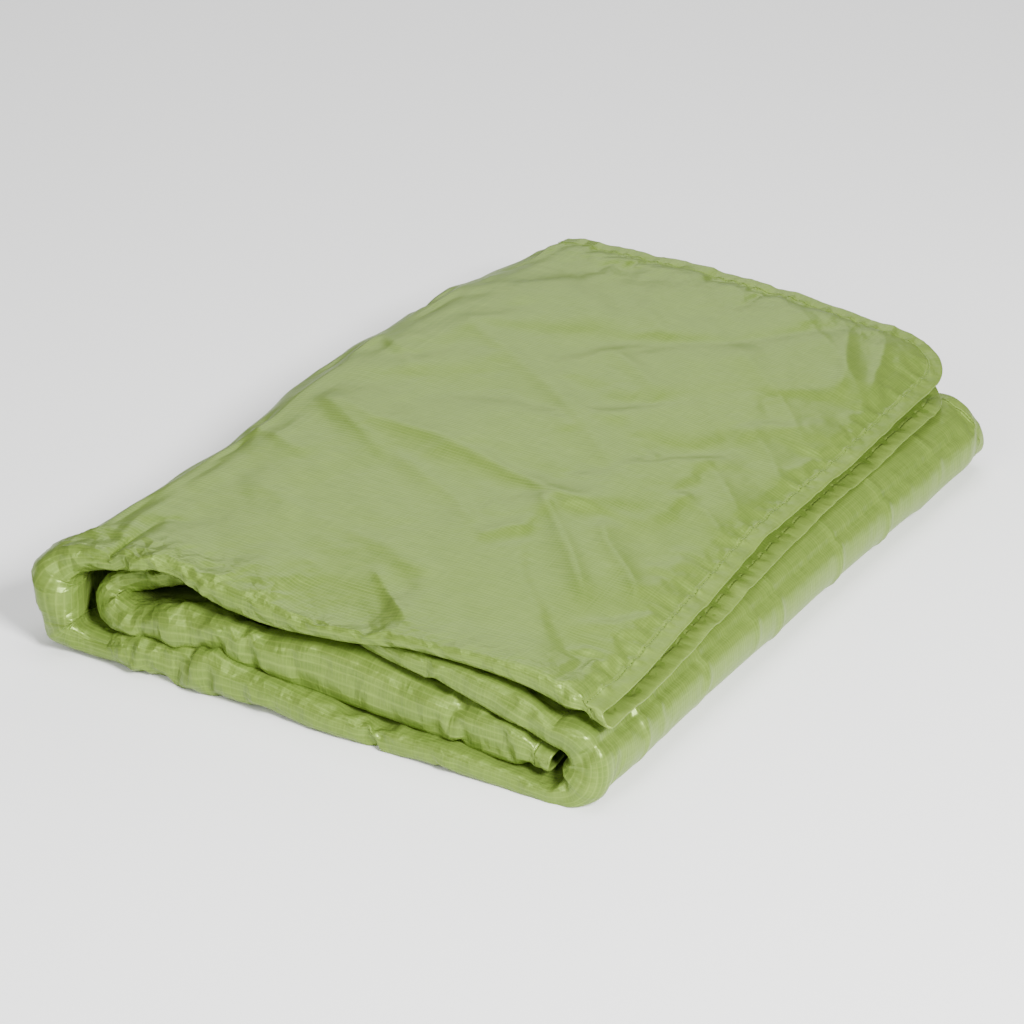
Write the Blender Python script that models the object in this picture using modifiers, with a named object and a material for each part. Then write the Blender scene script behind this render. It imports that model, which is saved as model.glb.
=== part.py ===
"""Camp quilt, folded for carrying.

The quilt is a face fabric and a lining fabric with a sheet of insulation between them, and a
hem binding stitched round its edge. It is folded in half along its length, so that every layer
of the stack is a pair of plies joined by a fold at the front (-Y) with their hems at the back
(+Y). The pair is then rolled up in four panels:

    inner panel (its end hem lies inside the roll)
      -> inner fold, at the left -> middle panel
      -> right roll -> base panel, which lies on the ground
      -> left fold, round the whole stack -> top flap, whose side hem lies over the right roll

The top flap turns open about the outer line of the left fold. Each panel and fold is cut from
the one quilt at its fold lines. Metres, +Z up, origin under the middle of the stack.
"""

from math import cos, pi, sin

import bpy
import bmesh

# Overall size of the folded stack.
WIDTH = 0.490
DEPTH = 0.722

# One ply: how far each sheet's middle stands from the middle of a pair of plies.
FABRIC = 0.0006
FILL = 0.0080
PLY_MIDDLE = 0.00545
FACE_OFFSET = 0.0101
LINING_OFFSET = 0.0008
FLANGE_STEP = 0.0005  # the face and lining lie this far from the ply's middle inside the hem
PAIR_HALF = FACE_OFFSET + FABRIC / 2

# Hem binding, folded round the flat edge of the face and lining.
HEM_WIDTH = 0.015
HEM_LEG_STEP = 0.0015
FLANGE_EDGE = 0.0012
PUFF_START = 0.0155
PUFF_END = 0.0240
FILL_EDGE = 0.0260
CORNER_RADIUS = 0.060
THREAD_INSET = (0.0116, 0.0124)
THREAD_OFFSET = PLY_MIDDLE + 0.0023
THREAD_THICKNESS = 0.0004

# Levels of the four pairs of plies, from the ground up.
LEVEL_STEP = 0.024
BASE_LEVEL = PAIR_HALF
INNER_LEVEL = BASE_LEVEL + LEVEL_STEP
MIDDLE_LEVEL = INNER_LEVEL + LEVEL_STEP
TOP_LEVEL = MIDDLE_LEVEL + LEVEL_STEP

# Folds: centre height and radius to the middle of the pair.
LEFT_FOLD_RADIUS = (TOP_LEVEL - BASE_LEVEL) / 2
LEFT_FOLD_HEIGHT = (TOP_LEVEL + BASE_LEVEL) / 2
ROLL_RADIUS = (MIDDLE_LEVEL - BASE_LEVEL) / 2
ROLL_HEIGHT = (MIDDLE_LEVEL + BASE_LEVEL) / 2
INNER_FOLD_RADIUS = (MIDDLE_LEVEL - INNER_LEVEL) / 2
INNER_FOLD_HEIGHT = (MIDDLE_LEVEL + INNER_LEVEL) / 2

LEFT_FOLD_X = -WIDTH / 2 + LEFT_FOLD_RADIUS + PAIR_HALF
ROLL_X = WIDTH / 2 - ROLL_RADIUS - PAIR_HALF
INNER_FOLD_X = LEFT_FOLD_X + 0.012
INNER_END_X = ROLL_X + 0.005
FLAP_END_X = WIDTH / 2 - 0.024  # the upper ply's side hem
FLAP_LOWER_STEP = 0.011  # the lower ply's side hem shows this far past it
SECTION_GAP = 0.0007  # clear space at each fold line

FRONT_Y = -DEPTH / 2 + PAIR_HALF
BACK_Y = DEPTH / 2

FRONT_STEPS = 8
TURN_STEPS = 12
CORNER_STEPS = 5

RIPSTOP = ("face_ripstop", (0.27, 0.38, 0.10), 0.42)
LINING = ("lining_taffeta", (0.22, 0.33, 0.08), 0.46)
BATTING = ("polyester_batting", (0.85, 0.85, 0.82), 0.95)
BINDING = ("hem_ripstop", (0.29, 0.40, 0.11), 0.44)
THREAD = ("sewing_thread", (0.20, 0.29, 0.08), 0.6)


def clear_scene():
    for obj in list(bpy.data.objects):
        bpy.data.objects.remove(obj)


def material(finish):
    name, colour, roughness = finish
    found = bpy.data.materials.get(name)
    if found:
        return found
    made = bpy.data.materials.new(name)
    made.use_nodes = True
    shader = made.node_tree.nodes["Principled BSDF"]
    shader.inputs["Base Color"].default_value = (*colour, 1.0)
    shader.inputs["Roughness"].default_value = roughness
    shader.inputs["Metallic"].default_value = 0.0
    return made


def add_object(name, mesh, finish):
    obj = bpy.data.objects.new(name, mesh)
    quilt.objects.link(obj)
    mesh.materials.append(material(finish))
    mesh.shade_smooth()
    mesh.set_sharp_from_angle(angle=pi / 5)
    return obj


def thicken(obj, thickness):
    wall = obj.modifiers.new("fabric thickness", "SOLIDIFY")
    wall.thickness = thickness
    wall.offset = 0.0
    wall.use_even_offset = True


# ---------------------------------------------------------------- sheet profiles
# A profile is a list of (distance in from the hem's edge, distance from the pair's middle).


def face_profile(inner):
    flange = PLY_MIDDLE + FLANGE_STEP
    return [(FLANGE_EDGE, flange), (PUFF_START, flange), (PUFF_END, FACE_OFFSET), (inner, FACE_OFFSET)]


def lining_profile(inner):
    flange = PLY_MIDDLE - FLANGE_STEP
    return [(FLANGE_EDGE, flange), (PUFF_START, flange), (PUFF_END, LINING_OFFSET), (inner, LINING_OFFSET)]


def fill_profile(inner):
    return [(FILL_EDGE, PLY_MIDDLE), (inner, PLY_MIDDLE)]


def hem_profile():
    outer = PLY_MIDDLE + HEM_LEG_STEP
    under = PLY_MIDDLE - HEM_LEG_STEP
    edge = FABRIC / 2
    return [(HEM_WIDTH, outer), (edge, outer), (edge, under), (HEM_WIDTH, under)]


def thread_profile():
    return [(inset, THREAD_OFFSET) for inset in THREAD_INSET]


# ---------------------------------------------------------------- straight panels and folds


def front_fold(offset):
    """The half turn at the front that joins the outer ply to the inner one."""
    angles = [pi * step / FRONT_STEPS for step in range(1, FRONT_STEPS)]
    return [(FRONT_Y - offset * sin(a), offset * cos(a)) for a in angles]


def pair_outline(profile):
    """A sheet's section across the quilt: outer ply, front fold, inner ply, as (y, offset)."""
    outer = [(BACK_Y - inset, offset) for inset, offset in profile[:-1]]
    turn_offset = profile[-1][1]
    outer.append((FRONT_Y, turn_offset))
    inner = [(y, -offset) for y, offset in reversed(outer)]
    return outer + front_fold(turn_offset) + inner


def strip_outline(profile, side):
    """A strip along the back edge of one ply. side is 1 for the outer ply and -1 for the inner."""
    return [(BACK_Y - inset, side * offset) for inset, offset in profile]


def polyline_mesh(name, points):
    mesh = bpy.data.meshes.new(name)
    edges = [(i, i + 1) for i in range(len(points) - 1)]
    mesh.from_pydata(points, edges, [])
    return mesh


def sweep(obj, angle, length, steps):
    turn = obj.modifiers.new("sweep", "SCREW")
    turn.axis = "X" if angle == 0 else "Y"
    turn.angle = angle
    turn.screw_offset = length
    turn.steps = steps
    turn.render_steps = steps
    turn.use_merge_vertices = False
    turn.use_smooth_shade = True


def panel(name, outline, start_x, end_x, level, thickness, finish):
    """A section laid flat: its outline drawn out along X."""
    mesh = polyline_mesh(name, [(0, y, offset) for y, offset in outline])
    obj = add_object(name, mesh, finish)
    obj.location = (start_x + SECTION_GAP, 0, level)
    sweep(obj, 0, end_x - start_x - 2 * SECTION_GAP, 1)
    thicken(obj, thickness)
    return obj


def fold(name, outline, x, height, radius, side, thickness, finish):
    """A section turned half round a line along Y. side is -1 for a fold at the left."""
    mesh = polyline_mesh(name, [(0, y, radius + offset) for y, offset in outline])
    obj = add_object(name, mesh, finish)
    obj.location = (x, 0, height)
    sweep(obj, side * pi, 0, TURN_STEPS)
    thicken(obj, thickness)
    return obj


# ---------------------------------------------------------------- end panels, hemmed on two sides


def edge_path(inset, offset, start_x, end_x, lower_step):
    """One line round an end panel at one distance in from the hem's edge, as (x, y, offset).

    It runs along the back of the outer ply, round the corner, down the side to the front, round
    the front fold, and back the same way on the inner ply.
    """
    square = max(CORNER_RADIUS, inset)
    radius = square - inset

    def ply(side, end):
        turn = [pi / 2 * (1 - step / CORNER_STEPS) for step in range(CORNER_STEPS + 1)]
        corner = [
            (end - square + radius * cos(a), BACK_Y - square + radius * sin(a), side * offset)
            for a in turn
        ]
        back = (start_x, BACK_Y - inset, side * offset)
        return [back, *corner, (end - inset, FRONT_Y, side * offset)]

    outer = ply(1, end_x)
    inner = ply(-1, end_x + lower_step)
    angles = [pi * step / FRONT_STEPS for step in range(1, FRONT_STEPS)]
    front = [
        (
            end_x - inset + lower_step * (1 - cos(a)) / 2,
            FRONT_Y - offset * sin(a),
            offset * cos(a),
        )
        for a in angles
    ]
    return outer + front + inner[::-1]


def end_panel(name, profile, start_x, end_x, level, lower_step, thickness, finish):
    """An end panel's sheet: a loft through its edge paths, one for each point of the profile."""
    paths = [edge_path(inset, offset, start_x, end_x, lower_step) for inset, offset in profile]
    shape = bmesh.new()
    rows = [[shape.verts.new(point) for point in path] for path in paths]
    for row, following in zip(rows, rows[1:]):
        for i in range(len(row) - 1):
            shape.faces.new((row[i], row[i + 1], following[i + 1], following[i]))
    bmesh.ops.remove_doubles(shape, verts=shape.verts, dist=1e-5)
    bmesh.ops.recalc_face_normals(shape, faces=shape.faces)
    mesh = bpy.data.meshes.new(name)
    shape.to_mesh(mesh)
    shape.free()
    obj = add_object(name, mesh, finish)
    obj.location = (0, 0, level)
    thicken(obj, thickness)
    return obj


# ---------------------------------------------------------------- the quilt


def layers(inner):
    """(name, profile, thickness, finish) of the three sheets in every section."""
    return [
        ("face", face_profile(inner), FABRIC, RIPSTOP),
        ("insulation", fill_profile(inner), FILL, BATTING),
        ("lining", lining_profile(inner), FABRIC, LINING),
    ]


def build_panel(name, start_x, end_x, level):
    for layer, profile, thickness, finish in layers(DEPTH):
        panel(f"{name}_{layer}", pair_outline(profile), start_x, end_x, level, thickness, finish)
    for ply, side in (("outer", 1), ("inner", -1)):
        hem = strip_outline(hem_profile(), side)
        thread = strip_outline(thread_profile(), side)
        panel(f"{name}_hem_{ply}", hem, start_x, end_x, level, FABRIC, BINDING)
        panel(f"{name}_thread_{ply}", thread, start_x, end_x, level, THREAD_THICKNESS, THREAD)


def build_fold(name, x, height, radius, side):
    for layer, profile, thickness, finish in layers(DEPTH):
        fold(f"{name}_{layer}", pair_outline(profile), x, height, radius, side, thickness, finish)
    for ply, ply_side in (("outer", 1), ("inner", -1)):
        hem = strip_outline(hem_profile(), ply_side)
        thread = strip_outline(thread_profile(), ply_side)
        fold(f"{name}_hem_{ply}", hem, x, height, radius, side, FABRIC, BINDING)
        fold(f"{name}_thread_{ply}", thread, x, height, radius, side, THREAD_THICKNESS, THREAD)


def build_end_panel(name, start_x, end_x, level, lower_step):
    start = start_x + SECTION_GAP
    inner = end_x - start
    for layer, profile, thickness, finish in layers(inner):
        end_panel(f"{name}_{layer}", profile, start, end_x, level, lower_step, thickness, finish)
    end_panel(f"{name}_hem", hem_profile(), start, end_x, level, lower_step, FABRIC, BINDING)
    end_panel(
        f"{name}_thread", thread_profile(), start, end_x, level, lower_step, THREAD_THICKNESS, THREAD
    )


clear_scene()
quilt = bpy.data.collections.new("camp_quilt")
bpy.context.scene.collection.children.link(quilt)

build_panel("base", LEFT_FOLD_X, ROLL_X, BASE_LEVEL)
build_fold("right_roll", ROLL_X, ROLL_HEIGHT, ROLL_RADIUS, 1)
build_panel("middle", INNER_FOLD_X, ROLL_X, MIDDLE_LEVEL)
build_fold("inner_fold", INNER_FOLD_X, INNER_FOLD_HEIGHT, INNER_FOLD_RADIUS, -1)
build_end_panel("inner_panel", INNER_FOLD_X, INNER_END_X, INNER_LEVEL, 0.0)
build_fold("left_fold", LEFT_FOLD_X, LEFT_FOLD_HEIGHT, LEFT_FOLD_RADIUS, -1)
build_end_panel("top_flap", LEFT_FOLD_X, FLAP_END_X, TOP_LEVEL, FLAP_LOWER_STEP)
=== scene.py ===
from math import cos, pi, radians, sin

import bpy
import numpy as np
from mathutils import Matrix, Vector


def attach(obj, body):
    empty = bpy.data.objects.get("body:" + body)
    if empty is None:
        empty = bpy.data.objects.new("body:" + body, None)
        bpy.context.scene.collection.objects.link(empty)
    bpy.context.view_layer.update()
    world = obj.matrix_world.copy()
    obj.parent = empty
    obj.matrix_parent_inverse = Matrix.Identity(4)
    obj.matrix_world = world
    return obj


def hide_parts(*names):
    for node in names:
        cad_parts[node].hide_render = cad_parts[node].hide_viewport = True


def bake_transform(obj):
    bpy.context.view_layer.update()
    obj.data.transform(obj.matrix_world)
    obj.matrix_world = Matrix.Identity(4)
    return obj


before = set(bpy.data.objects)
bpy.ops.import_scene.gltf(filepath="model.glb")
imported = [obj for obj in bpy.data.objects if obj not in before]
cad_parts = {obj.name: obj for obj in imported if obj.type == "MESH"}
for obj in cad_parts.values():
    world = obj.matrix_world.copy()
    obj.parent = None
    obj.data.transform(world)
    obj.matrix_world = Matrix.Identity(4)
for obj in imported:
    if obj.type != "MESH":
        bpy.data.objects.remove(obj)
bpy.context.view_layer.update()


# ---------------------------------------------------------------- floor, light and camera
# The folded quilt lies on a plain white table. Four soft boxes light it: a strong one from the
# right, weak ones from the front and the back, and one overhead, for broad soft highlights.

FLOOR_HALF = 6.0
BACKDROP = (0.93, 0.93, 0.925, 1.0)
LIGHTS = {
    "right_softbox": ((2.2, -1.2, 1.9), 0.8, 225.0),
    "front_softbox": ((0.2, -2.6, 1.6), 1.2, 38.0),
    "back_softbox": ((-1.4, 2.2, 1.5), 1.8, 22.0),
    "overhead_softbox": ((0.0, 0.0, 2.8), 2.0, 55.0),
}
CAMERA_DISTANCE = 2.8
CAMERA_AZIMUTH = radians(31.3)
CAMERA_HEIGHT = radians(27.9)
CAMERA_AIM = Vector((0.0016, -0.011, 0.0))
CAMERA_LENS, CAMERA_SENSOR = 117.06, 36.0
CAMERA_SHIFT = (-0.0377, 0.031)
LIGHT_AIM = Vector((0, 0, 0.05))
ROOM_LIGHT = 0.18


def put_in_scene(name, data):
    thing = bpy.data.objects.new(name, data)
    bpy.context.scene.collection.objects.link(thing)
    return thing


def table_top():
    mesh = bpy.data.meshes.new("floor")
    reach = FLOOR_HALF
    corners = [(-reach, -reach, 0), (reach, -reach, 0), (reach, reach, 0), (-reach, reach, 0)]
    mesh.from_pydata(corners, [], [(0, 1, 2, 3)])
    floor = put_in_scene("floor", mesh)
    paint = bpy.data.materials.new("white_table")
    paint.use_nodes = True
    shader = paint.node_tree.nodes["Principled BSDF"]
    shader.inputs["Base Color"].default_value = BACKDROP
    shader.inputs["Roughness"].default_value = 0.9
    mesh.materials.append(paint)


def soft_box(name, place, size, power):
    light = bpy.data.lights.new(name, "AREA")
    light.size = size
    light.energy = power
    lamp = put_in_scene(name, light)
    lamp.location = place
    lamp.rotation_euler = (LIGHT_AIM - Vector(place)).to_track_quat("-Z", "Y").to_euler()


def studio_camera():
    lens = bpy.data.cameras.new("camera")
    lens.lens = CAMERA_LENS
    lens.sensor_width = CAMERA_SENSOR
    lens.shift_x, lens.shift_y = CAMERA_SHIFT
    camera = put_in_scene("camera", lens)
    level = cos(CAMERA_HEIGHT)
    back = Vector((sin(CAMERA_AZIMUTH) * level, -cos(CAMERA_AZIMUTH) * level, sin(CAMERA_HEIGHT)))
    camera.location = CAMERA_AIM + CAMERA_DISTANCE * back
    camera.rotation_euler = back.to_track_quat("Z", "Y").to_euler()
    bpy.context.scene.camera = camera


table_top()
for light_name, (place, size, power) in LIGHTS.items():
    soft_box(light_name, place, size, power)
studio_camera()
world = bpy.data.worlds.new("studio")
bpy.context.scene.world = world
world.use_nodes = True
world.node_tree.nodes["Background"].inputs["Color"].default_value = (1.0, 1.0, 1.0, 1.0)
world.node_tree.nodes["Background"].inputs["Strength"].default_value = ROOM_LIGHT


# ---------------------------------------------------------------- the way the quilt is rolled
# The quilt is one pair of plies, joined by the fold at the front, rolled up in four panels. A
# place in the roll is (along, across): along counts the sections from the inner panel's end hem
# to the top flap's hem, and across is where it lies between the front fold and the back hem.

SECTIONS = ["inner_panel", "inner_fold", "middle", "right_roll", "base", "left_fold", "top_flap"]
INNER_PANEL, INNER_FOLD, MIDDLE, RIGHT_ROLL, BASE, LEFT_FOLD, TOP_FLAP = range(7)
SECTION_LENGTH = [0.385, 0.06, 0.375, 0.095, 0.40, 0.13, 0.425]  # flat lengths along the roll
PLY_DEPTH = 0.70  # flat, from the front fold to the hem
FRONT_DEPTH = 0.07  # how far back from the front the plies spread apart
LEFT_X, INNER_X, ROLL_X, INNER_END_X = -0.188, -0.168, 0.208, 0.208

# Where each layer's top lies along the front, and well inside the stack, as (x, z).
BASE_TOP_FRONT = [(-0.240, 0.012), (-0.198, 0.019), (-0.177, 0.028), (-0.142, 0.034), (-0.104, 0.035),
                  (-0.066, 0.030), (0.008, 0.023), (0.081, 0.020), (0.169, 0.017), (0.240, 0.016)]
INNER_TOP_FRONT = [(-0.198, 0.050), (-0.175, 0.052), (-0.137, 0.062), (-0.102, 0.069), (-0.060, 0.069),
                   (0.008, 0.073), (0.082, 0.062), (0.169, 0.048), (0.216, 0.036)]
MIDDLE_LOW_FRONT = [(-0.198, 0.052), (-0.175, 0.056), (-0.137, 0.066), (-0.102, 0.062), (-0.060, 0.060),
                    (0.008, 0.066), (0.082, 0.063), (0.169, 0.049), (0.216, 0.037)]
MIDDLE_TOP_FRONT = [(-0.198, 0.068), (-0.165, 0.082), (-0.137, 0.080), (-0.102, 0.072), (-0.060, 0.070),
                    (0.010, 0.076), (0.082, 0.079), (0.169, 0.076), (0.212, 0.066), (0.240, 0.060)]
FLAP_LOW_FRONT = [(-0.251, 0.060), (-0.209, 0.064), (-0.198, 0.068), (-0.165, 0.083), (-0.137, 0.082),
                  (-0.102, 0.073), (-0.060, 0.071), (0.010, 0.077), (0.082, 0.080), (0.170, 0.077),
                  (0.212, 0.071), (0.250, 0.064)]
FLAP_TOP_FRONT = [(-0.237, 0.080), (-0.184, 0.092), (-0.174, 0.099), (-0.148, 0.097), (-0.100, 0.093),
                  (0.080, 0.091), (0.170, 0.093), (0.221, 0.086), (0.252, 0.077)]
BASE_TOP = [(-0.240, 0.0235), (0.240, 0.0225)]
INNER_TOP = [(-0.240, 0.0470), (0.100, 0.0455), (0.240, 0.0420)]
MIDDLE_TOP = [(-0.240, 0.0700), (0.100, 0.0690), (0.200, 0.0630), (0.240, 0.0600)]
FLAP_TOP = [(-0.240, 0.0930), (-0.120, 0.0950), (0.080, 0.0945), (0.170, 0.0900), (0.250, 0.0795)]

# The flap's side hem, and each section's front and back edges.
FLAP_EDGE_OUTER = [(-0.360, 0.244), (-0.282, 0.243), (-0.177, 0.233), (-0.045, 0.220), (0.120, 0.219),
                   (0.250, 0.214), (0.360, 0.210)]
FLAP_EDGE_INNER = [(-0.360, 0.254), (-0.321, 0.253), (-0.113, 0.239), (0.000, 0.231), (0.294, 0.226),
                   (0.360, 0.224)]
FRONT_LINE = [(0.0, -0.355), (1.0, -0.357), (1.5, -0.350), (2.0, -0.334), (2.45, -0.331), (2.65, -0.343),
              (3.0, -0.347), (3.5, -0.350), (4.0, -0.357), (5.0, -0.368), (5.3, -0.371), (5.6, -0.364),
              (6.0, -0.353), (6.5, -0.350), (7.0, -0.343)]
BACK_LINE_OUTER = [(0.0, 0.316), (1.0, 0.334), (2.0, 0.336), (3.0, 0.314), (3.5, 0.304), (4.0, 0.322),
                   (5.0, 0.352), (5.5, 0.372), (6.0, 0.386), (6.35, 0.384), (7.0, 0.345)]
BACK_LINE_INNER = [(0.0, 0.310), (1.0, 0.325), (2.0, 0.328), (3.0, 0.318), (3.5, 0.310), (4.0, 0.316),
                   (5.0, 0.344), (5.5, 0.362), (6.0, 0.372), (7.0, 0.318)]
CORNER_RADIUS = 0.062
NOSE_SQUARENESS = 0.72  # 1 would make the front folds round; less makes their faces flatter
PANEL_GAP = 0.0003  # half the air between one panel and the next


def smooth(x):
    x = np.clip(x, 0.0, 1.0)
    return x * x * (3 - 2 * x)


def curve_through(points, x):
    """A smooth curve through given points, with no overshoot between them."""
    px, pz = np.array(points).T
    slopes = np.diff(pz) / np.diff(px)
    tangents = np.concatenate([slopes[:1], (slopes[:-1] + slopes[1:]) / 2, slopes[-1:]])
    turning = np.concatenate([[False], slopes[:-1] * slopes[1:] <= 0, [False]])
    tangents[turning] = 0.0
    x = np.clip(x, px[0], px[-1])
    i = np.clip(np.searchsorted(px, x, side="right") - 1, 0, len(px) - 2)
    width = px[i + 1] - px[i]
    t = (x - px[i]) / width
    start = (2 * t**3 - 3 * t**2 + 1) * pz[i] + (t**3 - 2 * t**2 + t) * width * tangents[i]
    return start + (3 * t**2 - 2 * t**3) * pz[i + 1] + (t**3 - t**2) * width * tangents[i + 1]


def level(front_points, points, x, back):
    """A layer's height: one curve at the front, another once it is well inside the stack."""
    inside = smooth(back / FRONT_DEPTH)
    return (1 - inside) * curve_through(front_points, x) + inside * curve_through(points, x)


def stack_swell(y):
    """1 where the stack is fullest, towards the back of its left side."""
    return smooth((y + 0.13) / 0.13) * smooth((0.345 - y) / 0.12)


def panel_limits(section, x, y, back):
    """The lowest and highest points of one panel's pair of plies."""
    floor = np.zeros_like(x)
    if section == BASE:
        return floor, level(BASE_TOP_FRONT, BASE_TOP, x, back)
    if section == INNER_PANEL:
        low = level(BASE_TOP_FRONT, BASE_TOP, x, back)
        return low, level(INNER_TOP_FRONT, INNER_TOP, x, back)
    if section == MIDDLE:
        low = level(MIDDLE_LOW_FRONT, INNER_TOP, x, back)
        return low, level(MIDDLE_TOP_FRONT, MIDDLE_TOP, x, back)
    low = level(FLAP_LOW_FRONT, MIDDLE_TOP, x, back)
    swell = 0.0040 * stack_swell(y) * smooth((0.02 - x) / 0.22)
    return low, level(FLAP_TOP_FRONT, FLAP_TOP, x, back) + swell


def panel_middle(section, x, y, back):
    low, high = panel_limits(section, x, y, back)
    return (low + high) / 2, (high - low) / 2 - PANEL_GAP


def round_fold(turn, side, x, reach, start, end, squareness):
    """A fold's middle line: half of a rounded box from one panel's level to the next."""
    out = np.abs(np.sin(turn)) ** squareness
    rise = np.sign(np.cos(turn)) * np.abs(np.cos(turn)) ** squareness
    return x + side * reach * out, (start + end) / 2 + (start - end) / 2 * rise


def middle_line(along, y, ply_turn):
    """The pair's middle at each place: x, z and half the pair's thickness."""
    x = np.zeros_like(along)
    z = np.zeros_like(along)
    half = np.zeros_like(along)
    back = np.maximum(y - curve_through(FRONT_LINE, along), 0)
    inside = smooth(back / FRONT_DEPTH)
    side = (1 - np.cos(ply_turn)) / 2
    edge = (1 - side) * curve_through(FLAP_EDGE_OUTER, y) + side * curve_through(FLAP_EDGE_INNER, y)
    section = np.clip(np.floor(along), 0, 6).astype(int)
    t = along - section
    spans = {
        INNER_PANEL: (np.full_like(x, INNER_END_X), np.full_like(x, INNER_X)),
        MIDDLE: (np.full_like(x, INNER_X), np.full_like(x, ROLL_X)),
        BASE: (np.full_like(x, ROLL_X), np.full_like(x, LEFT_X)),
        TOP_FLAP: (np.full_like(x, LEFT_X), edge),
    }
    for panel, (start, end) in spans.items():
        here = section == panel
        panel_x = start + t * (end - start)
        middle, thickness = panel_middle(panel, panel_x, y, back)
        x[here], z[here], half[here] = panel_x[here], middle[here], thickness[here]
    roll_reach = 0.025 + 0.010 * inside + 0.003 * smooth((y - 0.10) / 0.20)
    loop_reach = 0.050 - 0.004 * inside + 0.018 * stack_swell(y)
    folds = {
        INNER_FOLD: (INNER_PANEL, MIDDLE, INNER_X, -1, 0.030 - 0.012 * inside, 1.0 + 0 * inside, 0.0),
        RIGHT_ROLL: (MIDDLE, BASE, ROLL_X, 1, roll_reach, 0.92 + 0 * inside, 0.006),
        LEFT_FOLD: (BASE, TOP_FLAP, LEFT_X, -1, loop_reach, 0.40 + 0.85 * t**2 * (1 - 0.6 * inside), 0.008),
    }
    for fold, (first, second, fold_x, direction, reach, square, swell) in folds.items():
        here = section == fold
        at = np.full_like(x, fold_x)
        start, start_half = panel_middle(first, at, y, back)
        end, end_half = panel_middle(second, at, y, back)
        bend_x, bend_z = round_fold(pi * t, direction, fold_x, reach, start, end, square)
        thickness = start_half + smooth(t) * (end_half - start_half)
        thickness = thickness + swell * np.sin(pi * t) * (1 - inside)
        x[here], z[here], half[here] = bend_x[here], bend_z[here], thickness[here]
    return x, z, half


def hem_inset(along, across):
    """Flat distance in from the nearest hem, round the rounded corner of an end panel."""
    from_back = (1 - across) * PLY_DEPTH
    to_start = np.where(along < 1, along * SECTION_LENGTH[INNER_PANEL], 1.0)
    to_end = np.where(along > 6, (7 - along) * SECTION_LENGTH[TOP_FLAP], 1.0)
    from_side = np.minimum(to_start, to_end)
    corner_back = np.maximum(CORNER_RADIUS - from_back, 0)
    corner_side = np.maximum(CORNER_RADIUS - from_side, 0)
    in_corner = (corner_back > 0) & (corner_side > 0)
    rounded = CORNER_RADIUS - np.hypot(corner_back, corner_side)
    return np.where(in_corner, rounded, np.minimum(from_back, from_side))


def in_roll(along, across, turn, offset_of):
    """Where a point of one layer lies, and which way is out of the ply there.

    across is 0 at the front fold and 1 at the back hem. turn is 0 on the outer ply, pi on the
    inner ply and in between round the front fold. offset_of gives the layer's distance from the
    pair's middle, from half the pair's thickness and the distance in from the hem.
    """
    step = 0.004
    front = curve_through(FRONT_LINE, along)
    side = (1 - np.cos(turn)) / 2
    back = (1 - side) * curve_through(BACK_LINE_OUTER, along) + side * curve_through(BACK_LINE_INNER, along)
    half = middle_line(along, front + across * (back - front), turn)[2]
    y = front + half * (1 - across) + across * (back - front - half * (1 - across))
    x, z, half = middle_line(along, y, turn)
    before = middle_line(np.maximum(along - step, 0), y, turn)
    after = middle_line(np.minimum(along + step, 6.9999), y, turn)
    run_x, run_z = after[0] - before[0], after[1] - before[1]
    length = np.hypot(run_x, run_z) + 1e-9
    out_x, out_z = -run_z / length, run_x / length
    offset = offset_of(half, hem_inset(along, across))
    shift = offset * np.sign(np.cos(turn)) * np.abs(np.cos(turn)) ** NOSE_SQUARENESS
    forward = offset * np.clip(np.sin(turn), 0, 1) ** NOSE_SQUARENESS
    place = np.stack([x + out_x * shift, y - forward, z + out_z * shift], axis=-1)
    return place, np.stack([out_x * np.cos(turn), -np.sin(turn), out_z * np.cos(turn)], axis=-1)


PLY_FULL = 0.0095
PLY_GAP = 0.0006  # air between the linings of a pair of plies
PLY_AT_HEM = 0.0014
HEM_WIDTH = 0.0165
SETTLE = 0.35  # how much of the ply's thickness the hem lies below its face


def ply_thickness(half, inset):
    full = np.minimum(PLY_FULL, half - PLY_GAP)
    puff = smooth((inset - HEM_WIDTH + 0.004) / 0.022)
    return full, PLY_AT_HEM + (full - PLY_AT_HEM) * puff


def face_offset(half, inset):
    full, thick = ply_thickness(half, inset)
    return half - SETTLE * (full - thick)


def lining_offset(half, inset):
    full, thick = ply_thickness(half, inset)
    return half - SETTLE * (full - thick) - thick


# ---------------------------------------------------------------- creases in the cloth
# Crisp calendered nylon keeps every crease: sharp ridges round shallow dents where the front folds
# are squeezed, long soft ridges across the flap, and small puckers all along the stitching.

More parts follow.
